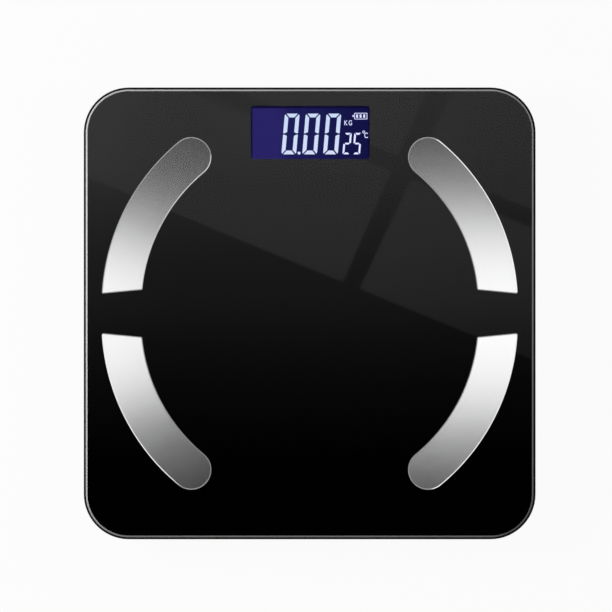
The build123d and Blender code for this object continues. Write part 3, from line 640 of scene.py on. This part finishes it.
def plate(left, bottom, right, top, cut=0.0):
    """A rectangle with cut corners on the display, from its sides in millimetres."""
    x0, y0 = spot(left, bottom)
    x1, y1 = spot(right, top)
    if not cut:
        return [(x0, y0), (x1, y0), (x1, y1), (x0, y1)]
    return [
        (x0 + cut, y0), (x1 - cut, y0), (x1, y0 + cut), (x1, y1 - cut),
        (x1 - cut, y1), (x0 + cut, y1), (x0, y1 - cut), (x0, y0 + cut),
    ]


small_size = {"width": 0.0047, "height": 0.01326, "thick": 0.00115, "gap": 0.0003}
point = disc(29.82, 3.74, radius=0.00092)
two = moved(segments("abged", **small_size), spot(56.7, 2.97))
five = moved(segments("afgcd", **small_size), spot(62.92, 2.97))
degree = half_rings(69.9, 16.81, radius=0.00086, bore=0.00048)
sign = [
    plate(64.3, 28.26, 71.95, 28.64),
    plate(64.3, 24.64, 71.95, 25.02),
    plate(71.76, 24.9, 72.16, 28.38),
    plate(64.06, 24.9, 64.46, 28.38),
    plate(62.95, 26.05, 63.8, 27.35, cut=0.0003),
    plate(65.25, 25.6, 66.4, 27.68),
    plate(67.4, 25.6, 68.55, 27.68),
    plate(69.65, 25.6, 70.8, 27.68),
]
small_marks = shape("display_small_marks", [point, *two, *five, *degree, *sign])


def mark(name, letters, left, bottom, right, top):
    """A plain unit mark that fills a box on the display, from a text made a mesh."""
    curve = bpy.data.curves.new(name, "FONT")
    curve.body = letters
    curve.offset = 0.008
    curve.space_character = 1.3
    flat = plain_mesh(name, curve)
    low_x, low_y = spot(left, bottom)
    high_x, high_y = spot(right, top)
    across = [vertex.co.x for vertex in flat.vertices]
    upward = [vertex.co.y for vertex in flat.vertices]
    wide = (high_x - low_x) / (max(across) - min(across))
    tall = (high_y - low_y) / (max(upward) - min(upward))
    for vertex in flat.vertices:
        x = low_x + (vertex.co.x - min(across)) * wide
        y = low_y + (vertex.co.y - min(upward)) * tall
        vertex.co = (x, y, segment_z)
    return finished(name, flat, light_segment)


weight_mark = mark("display_weight_mark", "KG", 57.92, 20.93, 62.67, 24.04)
warmth_mark = mark("display_warmth_mark", "C", 70.28, 13.06, 72.52, 16.41)
for piece in (digits, small_marks, weight_mark, warmth_mark):
    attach(piece, "housing")


# The foam tape: a ring of black closed-cell foam with glue on both faces, which bonds the
# glass to the tray's ledge.
dress(soft_rubber("foam_tape", rgb(26, 26, 27), 0.9), "glass_tape")


# The film: black print bonded to the back of the glass, with a rounded opening over the
# display. It is set a hair into the glass, as ink wets it, so no air shows between them.
film_low, film_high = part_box("backing_film")
film_top = film_high.z + 0.00002
window_round = 0.0006
film_round = 0.0263
ink_dense = (0.0003, 0.0003, 0.0004, 1.0)
ink_thin = (0.0006, 0.0006, 0.0007, 1.0)
black_film, surface, place = finish("black_film", Specular_IOR_Level=0.0, Roughness=0.6)
feed(surface, Base_Color=place.grain(0.02, 3.0).mix(ink_dense, ink_thin))
film_outline = rounded(film_low, film_high, film_round)
window_outline = rounded(window_low, window_high, window_round)
film = flat_ring("printed_film", [film_outline, window_outline], film_low.z, film_top, black_film)
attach(film, "housing")
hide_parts("backing_film")


# The glass platform: a clear tempered slab with the faint green of soda glass, polished
# faces and a ground bevel round the top edge, taped to the tray.
clear_glass, surface, place = finish(
    "tempered_glass", Transmission_Weight=1.0, IOR=1.5, Roughness=0.0
)
feed(surface, Base_Color=place.grain(0.05, 3.0).mix(rgb(244, 248, 247), rgb(248, 251, 250)))
dress(clear_glass, "glass_platform")


# The ground bevel of the glass: the wheel that takes the sharp edge off leaves it white and
# satin all round. It is a skin a hair outside the slab's own chamfer.
glass_low, glass_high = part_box("glass_platform")
bevel = 0.001
skin = 0.000015
glass_round = 0.0267
bevel_steps = 24
ground_edge, surface, place = finish("ground_edge", Specular_IOR_Level=0.5)
wheel = place.grain(0.00018, 2.0)
feed(surface, Base_Color=wheel.mix(rgb(110, 110, 109), rgb(135, 135, 134)))
feed(surface, Roughness=0.5 + wheel * 0.2)
feed(surface, Normal=wheel.bump(0.00002))


def glass_outline(inset):
    """The outline of the glass, moved in by that much."""
    low = (glass_low.x + inset, glass_low.y + inset)
    high = (glass_high.x - inset, glass_high.y - inset)
    return rounded(low, high, glass_round - inset, bevel_steps)


outer = glass_outline(-skin)
inner = glass_outline(bevel - skin)
count = len(outer)
points = [(x, y, glass_high.z - bevel + skin) for x, y in outer]
points += [(x, y, glass_high.z + skin) for x, y in inner]
faces = [(i, (i + 1) % count, count + (i + 1) % count, count + i) for i in range(count)]
bevel_piece = from_faces("glass_ground_bevel", points, faces, ground_edge)
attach(bevel_piece, "housing")


# The electrodes: four arcs of satin stainless plate on the glass, each with two studs
# through it, held below by a nut over the ring terminal of its lead.
satin, surface, place = finish("electrode_steel", Metallic=1.0)
sand = place.grain(0.00035, 2.0)
cloud = place.grain(0.02, 3.0)
feed(surface, Base_Color=(sand * 0.5 + cloud * 0.5).mix(rgb(222, 222, 222), rgb(234, 234, 235)))
feed(surface, Roughness=0.19 + (sand - 0.5) * 0.03 + (cloud - 0.5) * 0.02)
feed(surface, Normal=sand.bump(0.000002))
dress(satin, *at_corners("electrode"))
dress(tinned, "electrode_terminals")
dress(screw_steel, "electrode_nuts")


# The camera: a long lens looks straight down on the glass, a little off its middle, from
# where the frame is this wide at the height given.
frame_width = 0.37944
frame_z = 0.021
lens = 400.0
half_sensor = 18.0
centre_x = -0.00228
centre_y = 0.00458
camera_z = frame_z + frame_width / 2 / (half_sensor / lens)
camera_data = bpy.data.cameras.new("camera")
camera_data.lens = lens
camera = bpy.data.objects.new("camera", camera_data)
camera.location = (centre_x, centre_y, camera_z)
scene.collection.objects.link(camera)
scene.camera = camera


# The floor: a pale table that glows evenly like a light box and takes a soft shadow under
# the scale. It is open from below, so that the underside can be seen.
def seen_ray(shade):
    """1 for rays that the eye follows: straight, in gloss or through glass."""
    kinds = ["Is Camera Ray", "Is Glossy Ray", "Is Transmission Ray"]
    rays = [shade.node("ShaderNodeLightPath", out=kind) for kind in kinds]
    return shade.maths("MAXIMUM", shade.maths("MAXIMUM", rays[0], rays[1]), rays[2])


def empty_tree(owner):
    """The emptied node tree of a material or a world, to build on."""
    owner.use_nodes = True
    owner.node_tree.nodes.clear()
    return Shade(owner.node_tree)


floor_z = -0.0003
reach = 30.0
scale_half = 0.14
shadow_round = 0.06
shadow_edge = 0.03
white = (1.0, 1.0, 1.0, 1.0)
table_finish = bpy.data.materials.new("floor")
shade = empty_tree(table_finish)
paper = shade.node("ShaderNodeBsdfDiffuse", None, {"Color": (0.86, 0.86, 0.86, 1.0)})
glow = shade.node("ShaderNodeEmission", None, {"Color": white, "Strength": 1.0})
across, along = shade.node("ShaderNodeTexCoord", out="Object").axes()[:2]
inward = {0: scale_half - abs(across), 1: scale_half - abs(along), 2: shadow_round}
under = shade.node("ShaderNodeMath", {"operation": "SMOOTH_MIN"}, inward).rise(0.0, shadow_edge)
eye = shade.node("ShaderNodeLightPath", out="Is Camera Ray")
share = 0.8 + seen_ray(shade) * 0.15 - eye * under * 0.85
lit = shade.node("ShaderNodeMixShader", None, {0: share, 1: paper, 2: glow})
behind = shade.node("ShaderNodeNewGeometry", out="Backfacing")
open_below = shade.node("ShaderNodeBsdfTransparent")
floor_mix = shade.node("ShaderNodeMixShader", None, {0: behind, 1: lit, 2: open_below})
shade.node("ShaderNodeOutputMaterial", None, {"Surface": floor_mix})
floor_outline = [
    (-reach, -reach, floor_z),
    (reach, -reach, floor_z),
    (reach, reach, floor_z),
    (-reach, reach, floor_z),
]
floor = from_faces("floor", floor_outline, [(0, 1, 2, 3)], table_finish)


# The reflection card: a dim overhead panel that the glass mirrors, brighter to the rear
# with soft panes of a window and the dark bars between them, and cut out over the display.
# Its pattern is drawn in millimetres on the glass, as the camera sees it there.
card_z = 1.9
card_half = 0.75
to_mm = 1000.0
side_mm = 280.0
grow = 1.0 + (card_z - glass_high.z) / (camera_z - glass_high.z)
card_finish = bpy.data.materials.new("reflection_card")
shade = empty_tree(card_finish)
spread = shade.node("ShaderNodeTexCoord", out="Object").axes()
x = (spread[0] - centre_x) * (to_mm / grow) + centre_x * to_mm
y = (spread[1] - centre_y) * (to_mm / grow) + centre_y * to_mm
level = (y + side_mm / 2) / side_mm


def tones(*stops):
    """A ramp of grey from height to light."""
    return {"stops": [(place, (light, light, light, 1.0)) for place, light in stops]}


bright = level.node(
    "ShaderNodeValToRGB",
    tones(
        (0.0, 0.0), (0.3, 0.08), (0.46, 0.29), (0.53, 0.41), (0.617, 0.5), (0.64, 0.53), (0.75, 0.605),
        (0.795, 0.63), (0.86, 0.71), (1.0, 0.78),
    ),
    {0: level},
)
dim = level.node(
    "ShaderNodeValToRGB",
    tones(
        (0.0, 0.004), (0.174, 0.006), (0.2625, 0.034), (0.351, 0.063), (0.44, 0.11), (0.5, 0.163),
        (0.551, 0.2), (0.617, 0.23), (0.706, 0.34), (0.828, 0.53), (1.0, 0.65),
    ),
    {0: level},
)


def square_on(slope):
    """Turns a distance along an axis into one square to a line of that slope."""
    return math.cos(math.atan(slope))


def nearer(first, second):
    """The smaller of two distances, rounded off where they meet."""
    return first.node("ShaderNodeMath", {"operation": "SMOOTH_MIN"}, {0: first, 1: second, 2: 3.0})


sill_x, sill_y, sill_fall = 34.0, 14.0, 0.41
post_x, post_lean, post_half, post_spread = 17.9, 0.4533, 5.7, 0.017
rail_y, rail_fall, rail_half = 113.8, 0.4, 5.7
sill = (y - sill_y + (x - sill_x) * sill_fall) * square_on(sill_fall)
post = (abs(x - post_x - y * post_lean) - (y * post_spread + post_half)) * square_on(post_lean)
rail = (abs(y - rail_y + x * rail_fall) - rail_half) * square_on(rail_fall)
panes = nearer(nearer(sill, post), rail).rise(-1.0, 1.0)
fade = 1.0 - x.rise(20.0, 150.0) * 0.14 + (0.0 - x).rise(70.0, 150.0) * 0.2
window_x, window_y = [(low + high) / 2 * to_mm for low, high in zip(window_low, window_high)]
window_wide, window_tall = [(high - low) * to_mm for low, high in zip(window_low, window_high)]
flag = nearer(window_wide / 2 - abs(x - window_x), window_tall / 2 - abs(y - window_y)).rise(-0.3, 0.3)
through = shade.node("ShaderNodeLightPath", out="Is Transmission Ray")
shine = panes.mix(dim, bright)
lit_share = fade * (1.0 - flag) * (1.0 - through)
dimmed = shade.node("ShaderNodeVectorMath", {"operation": "SCALE"}, {0: shine, "Scale": lit_share})
card_light = shade.node("ShaderNodeEmission", None, {"Color": dimmed, "Strength": 1.0})
shade.node("ShaderNodeOutputMaterial", None, {"Surface": card_light})


def shine_on(light, lit):
    """Lets a lamp or a sheet of light reach only the objects given."""
    group = bpy.data.collections.new(light.name + "_lights")
    for piece in lit:
        group.objects.link(piece)
    light.light_linking.receiver_collection = group


def light_sheet(name, material, outline, lit):
    """A flat sheet of light that only the objects given take, and only in their gloss."""
    sheet = from_faces(name, outline, [(0, 1, 2, 3)], material)
    sheet.visible_camera = False
    sheet.visible_diffuse = False
    sheet.visible_shadow = False
    shine_on(sheet, lit)


card_outline = [
    (-card_half, -card_half, card_z),
    (-card_half, card_half, card_z),
    (card_half, card_half, card_z),
    (card_half, -card_half, card_z),
]
glass_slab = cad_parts["glass_platform"]
light_sheet("reflection_card", card_finish, card_outline, [glass_slab])


# The lamps: overhead strips that only the steel takes, a wedge of light for the left plates
# and a panel for the right ones, with small lamps for the rear tips and the coined edges.
# Two spots light the ground bevel, and a broad soft key and fill light the rest.


def lamp(name, form, at, aim, size, energy, lit):
    """A soft panel at one point, aimed at another, that only lights the objects given."""
    panel_data = bpy.data.lights.new(name, "AREA")
    panel_data.shape = form
    panel_data.size, panel_data.size_y = size
    panel_data.energy = energy
    panel = bpy.data.objects.new(name, panel_data)
    panel.location = at
    panel.rotation_euler = (aim - panel.location).to_track_quat("-Z", "Y").to_euler()
    panel.visible_camera = False
    scene.collection.objects.link(panel)
    shine_on(panel, lit)


steel = {corner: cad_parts["electrode_" + corner] for corner in corners}
left_pair = [steel["front_left"], steel["rear_left"]]
right_pair = [steel["front_right"], steel["rear_right"]]
strip_z = 0.62
strip_reach = 0.8
strip_finish = bpy.data.materials.new("strip_glow")
shade = empty_tree(strip_finish)
strip_light = shade.node("ShaderNodeEmission", None, {"Color": white, "Strength": 1.455})
clear = shade.node("ShaderNodeBsdfTransparent")
see_through = shade.node("ShaderNodeAddShader", None, {0: strip_light, 1: clear})
shade.node("ShaderNodeOutputMaterial", None, {"Surface": see_through})
wedge_y = -0.0072
narrow, broad = 0.0135, 0.315
strip_outline = [
    (0.0, wedge_y - narrow, strip_z),
    (-strip_reach, wedge_y - broad, strip_z),
    (-strip_reach, wedge_y + broad, strip_z),
    (0.0, wedge_y + narrow, strip_z),
]
light_sheet("strip_left", strip_finish, strip_outline, left_pair)

strip_x = strip_reach / 2
strip_y = -0.0053
strip_size = (strip_reach, 0.145)
below = Vector((strip_x, strip_y, 0.0))
lamp("strip_right", "RECTANGLE", (strip_x, strip_y, strip_z), below, strip_size, 0.54, right_pair)
for corner, tip_x, tip_y, width, energy in [
    ("rear_left", -0.08, 0.094, 0.12, 0.0029),
    ("rear_right", 0.08, 0.112, 0.08, 0.0011),
]:
    below = Vector((tip_x, tip_y, 0.0))
    above = (tip_x, tip_y, strip_z)
    lamp("tip_" + corner, "ELLIPSE", above, below, (width, width), energy, [steel[corner]])

edge_away = 0.8
edge_tall = 0.2
edge_slope = math.tan(math.radians(29.5))
for corner, turn, width, energy in [
    ("front_left", 205, 0.8, 0.45),
    ("front_right", -40, 1.3, 0.7),
    ("rear_left", -25, 1.1, 0.4),
    ("rear_right", 30, 1.1, 0.6),
]:
    low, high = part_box("electrode_" + corner)
    heart = (low + high) / 2
    way = Vector((math.cos(math.radians(turn)), math.sin(math.radians(turn)), edge_slope))
    beside = heart + way * edge_away
    lamp("edge_" + corner, "RECTANGLE", beside, heart, (width, edge_tall), energy, [steel[corner]])

middle = Vector()
spot_size = (0.05, 0.05)
lamp("bevel_key", "ELLIPSE", (-0.2025, 0.0721, 0.3377), middle, spot_size, 4.0, [bevel_piece])
lamp("bevel_fill", "ELLIPSE", (0.263, 0.1188, 0.18), middle, spot_size, 0.23, [bevel_piece])
broad_size = (0.8, 0.8)
shiny = [*steel.values(), bevel_piece, glass_slab]
others = [piece for piece in scene.collection.all_objects if piece.type == "MESH" and piece not in shiny]
lamp("key", "ELLIPSE", (-1.55, 0.3, 0.9), middle, broad_size, 24.0, others)
lamp("fill", "ELLIPSE", (1.5, 0.2, 0.8), middle, broad_size, 2.0, others)


# The room: white all round to the eye. Glass and steel mirror it white near the horizon and
# dark overhead, and it gives the rest a plain, weaker light.
room = bpy.data.worlds.new("room")
scene.world = room
shade = empty_tree(room)
height = shade.node("ShaderNodeTexCoord", out="Generated").axes()[2]
ceiling = 1.0 - height.rise(0.2, 0.65) * 0.92
seen = shade.node("ShaderNodeLightPath", out="Is Camera Ray")
open_air = shade.maths("MAXIMUM", seen_ray(shade), height.rise(-0.05, -0.15))
level = shade.maths("MAXIMUM", seen, ceiling * (0.3 + open_air * 0.7))
air = shade.node("ShaderNodeBackground", None, {"Color": level, "Strength": 1.0})
shade.node("ShaderNodeOutputWorld", None, {"Surface": air})
